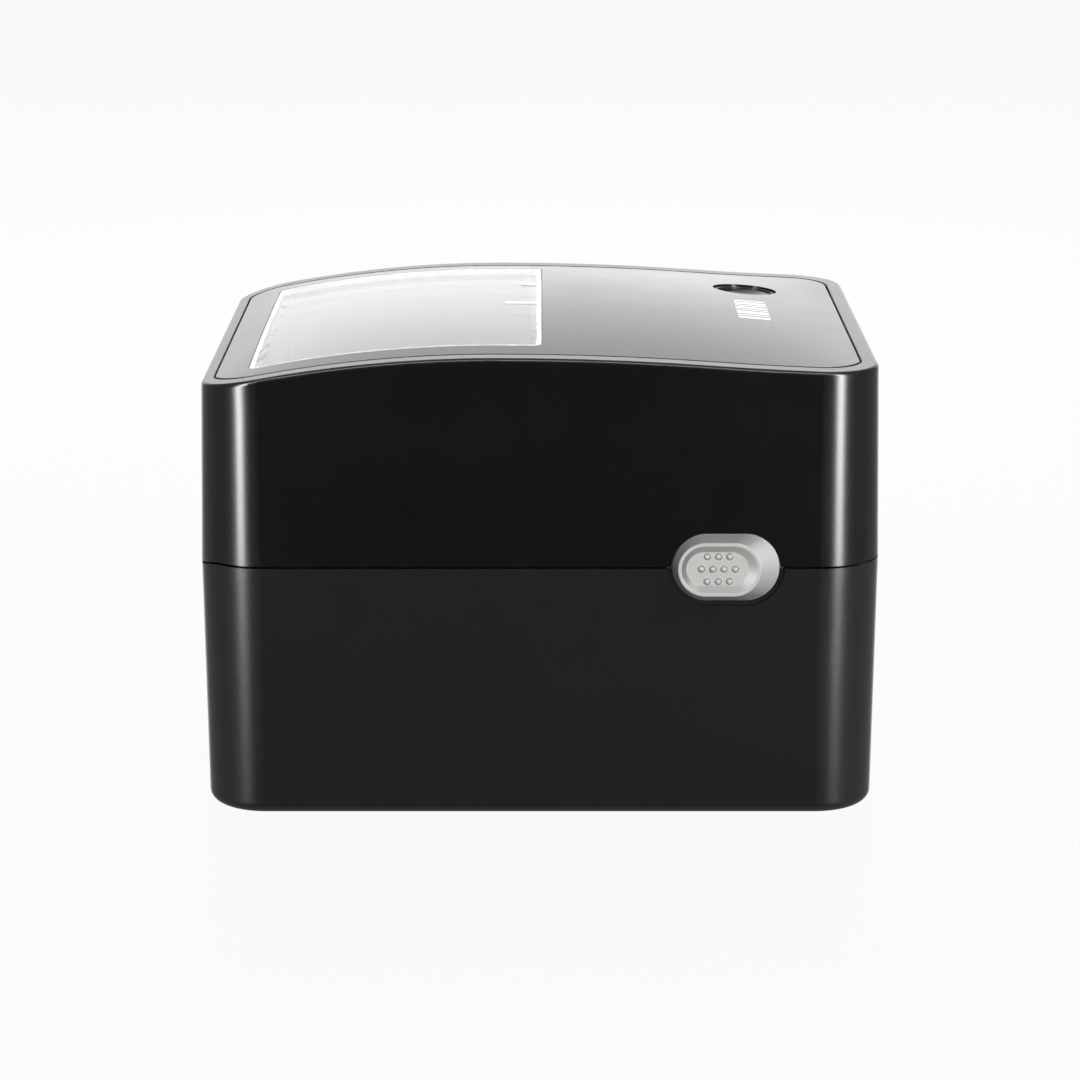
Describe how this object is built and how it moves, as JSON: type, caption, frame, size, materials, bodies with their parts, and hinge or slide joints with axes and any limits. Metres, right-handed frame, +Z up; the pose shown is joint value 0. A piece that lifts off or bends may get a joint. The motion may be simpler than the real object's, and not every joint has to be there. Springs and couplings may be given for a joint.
{
  "type": "thermal label printer",
  "caption": "Desktop direct-thermal label printer: arched hinged lid with roll window, side release buttons, roll guides, platen and print head.",
  "frame": {"origin": "centre of the case footprint, on the table under the feet", "axes": "+Z up, -Y towards the label outlet at the front, X across the width"},
  "size_m": [0.1834, 0.215, 0.1535],
  "materials": {
    "case_upper": "satin black moulded plastic",
    "case_lower": "satin black moulded plastic",
    "panel": "fine-textured semi-gloss black plastic",
    "window": "clear smoked polycarbonate",
    "inner_plastic": "matte dark grey plastic",
    "button": "satin warm grey plastic",
    "feed_cap": "glossy black plastic",
    "light_ring": "translucent grey plastic",
    "guide_plastic": "satin grey plastic",
    "hub_plastic": "light grey plastic",
    "gear_plastic": "natural white acetal",
    "rubber": "matte black rubber",
    "platen": "ground silicone rubber",
    "steel": "ground steel",
    "zinc": "bright zinc-plated steel",
    "spring_steel": "spring steel",
    "aluminium": "extruded aluminium",
    "ceramic": "glazed alumina",
    "brass": "sintered bronze",
    "board": "green solder mask",
    "chip": "moulded epoxy",
    "capacitor": "sleeved can",
    "socket": "moulded connector",
    "usb_shell": "tinned steel",
    "cable": "PVC sleeve",
    "ribbon": "white polyester film",
    "bush": "sintered bronze"
  },
  "bodies": {
    "base": {"lower_case": "case_lower", "media_tray": "inner_plastic", "rubber_feet": "rubber", "tray_screws": "zinc", "tear_bar": "steel", "gap_sensor": "chip", "hinge_pins": "steel", "mainboard": "board", "board_chips": "chip", "board_capacitors": "capacitor", "board_screws": "zinc", "usb_socket": "usb_shell", "power_socket": "socket", "switch_housing": "socket", "stepper_motor": "zinc", "motor_cable": "cable", "cable_plug": "hub_plastic", "gear_plate": "zinc", "plate_screws": "zinc", "head_cable": "ribbon", "head_socket": "hub_plastic", "idler_pin": "steel", "platen_bushes": "bush", "pinion_screw": "zinc", "button_spring_left": "spring_steel", "button_spring_right": "spring_steel", "latch_spring_left": "spring_steel", "latch_spring_right": "spring_steel", "latch_screws": "zinc"},
    "lid": {"upper_case": "case_upper", "top_panel": "panel", "window": "window", "lid_liner": "inner_plastic", "liner_screws": "zinc", "feed_ring": "light_ring", "button_board": "board", "tact_switch": "chip", "button_board_screws": "zinc", "head_axle": "steel", "head_springs": "spring_steel"},
    "print_head": {"head_heatsink": "aluminium", "head_ceramic": "ceramic", "head_connector": "socket"},
    "feed_button": {"feed_button": "feed_cap"},
    "release_button_left": {"release_button_left": "button"},
    "release_button_right": {"release_button_right": "button"},
    "guide_left": {"guide_left": "guide_plastic"},
    "guide_right": {"guide_right": "guide_plastic"},
    "guide_pinion": {"guide_pinion": "gear_plastic"},
    "roll_hub_left": {"roll_hub_left": "hub_plastic"},
    "roll_hub_right": {"roll_hub_right": "hub_plastic"},
    "platen": {"platen_shaft": "steel", "platen_rubber": "platen", "platen_gear": "gear_plastic"},
    "idler": {"idler_gear": "gear_plastic"},
    "motor_rotor": {"motor_shaft": "steel", "motor_pinion": "brass"},
    "power_rocker": {"power_rocker": "socket"}
  },
  "joints": [
    {"name": "lid_hinge", "type": "hinge", "parent": "base", "child": "lid", "pos_m": [0, 0.101, 0.088], "axis": [-1, 0, 0], "range_deg": [0, 80], "deforming": ["latch_spring_left", "latch_spring_right", "head_cable"]},
    {"name": "head_pivot", "type": "hinge", "parent": "lid", "child": "print_head", "pos_m": [0, -0.066, 0.095], "axis": [-1, 0, 0], "range_deg": [0, 2.5], "stiffness_Nm_per_rad": 0.5, "deforming": ["head_springs", "head_cable"]},
    {"name": "feed_press", "type": "slide", "parent": "lid", "child": "feed_button", "axis": [0, 0, -1], "range_m": [0, 0.0008], "stiffness_N_per_m": 300, "springref_m": -0.004},
    {"name": "release_left", "type": "slide", "parent": "base", "child": "release_button_left", "axis": [1, 0, 0], "range_m": [0, 0.002], "stiffness_N_per_m": 600, "springref_m": -0.002, "deforming": ["button_spring_left", "latch_spring_left"]},
    {"name": "release_right", "type": "slide", "parent": "base", "child": "release_button_right", "axis": [-1, 0, 0], "range_m": [0, 0.002], "stiffness_N_per_m": 600, "springref_m": -0.002, "deforming": ["button_spring_right", "latch_spring_right"]},
    {"name": "guide_slide_left", "type": "slide", "parent": "base", "child": "guide_left", "axis": [1, 0, 0], "range_m": [0, 0.039]},
    {"name": "guide_slide_right", "type": "slide", "parent": "base", "child": "guide_right", "axis": [-1, 0, 0], "range_m": [0, 0.039]},
    {"name": "guide_pinion_spin", "type": "hinge", "parent": "base", "child": "guide_pinion", "pos_m": [0, -0.057, 0.068], "axis": [0, 0, 1], "range_deg": [0, 312]},
    {"name": "hub_spin_left", "type": "hinge", "parent": "guide_left", "child": "roll_hub_left", "pos_m": [-0.055, 0.022, 0.077], "axis": [1, 0, 0], "continuous": true},
    {"name": "hub_spin_right", "type": "hinge", "parent": "guide_right", "child": "roll_hub_right", "pos_m": [0.055, 0.022, 0.077], "axis": [1, 0, 0], "continuous": true},
    {"name": "platen_spin", "type": "hinge", "parent": "base", "child": "platen", "pos_m": [0, -0.086, 0.075], "axis": [1, 0, 0], "continuous": true},
    {"name": "idler_spin", "type": "hinge", "parent": "base", "child": "idler", "pos_m": [0.073, -0.08, 0.0584], "axis": [1, 0, 0], "continuous": true},
    {"name": "motor_spin", "type": "hinge", "parent": "base", "child": "motor_rotor", "pos_m": [0.077, -0.072, 0.0391], "axis": [1, 0, 0], "continuous": true},
    {"name": "power_switch", "type": "hinge", "parent": "base", "child": "power_rocker", "pos_m": [-0.05, 0.1012, 0.026], "axis": [0, 0, 1], "range_deg": [-16, 0]}
  ],
  "couplings": [
    {"joint": "guide_slide_right", "follows": "guide_slide_left", "ratio": 1},
    {"joint": "guide_pinion_spin", "follows": "guide_slide_left", "rad_per_m": 138.89},
    {"joint": "idler_spin", "follows": "platen_spin", "ratio": -1.75},
    {"joint": "motor_spin", "follows": "platen_spin", "ratio": 3.9375}
  ]
}
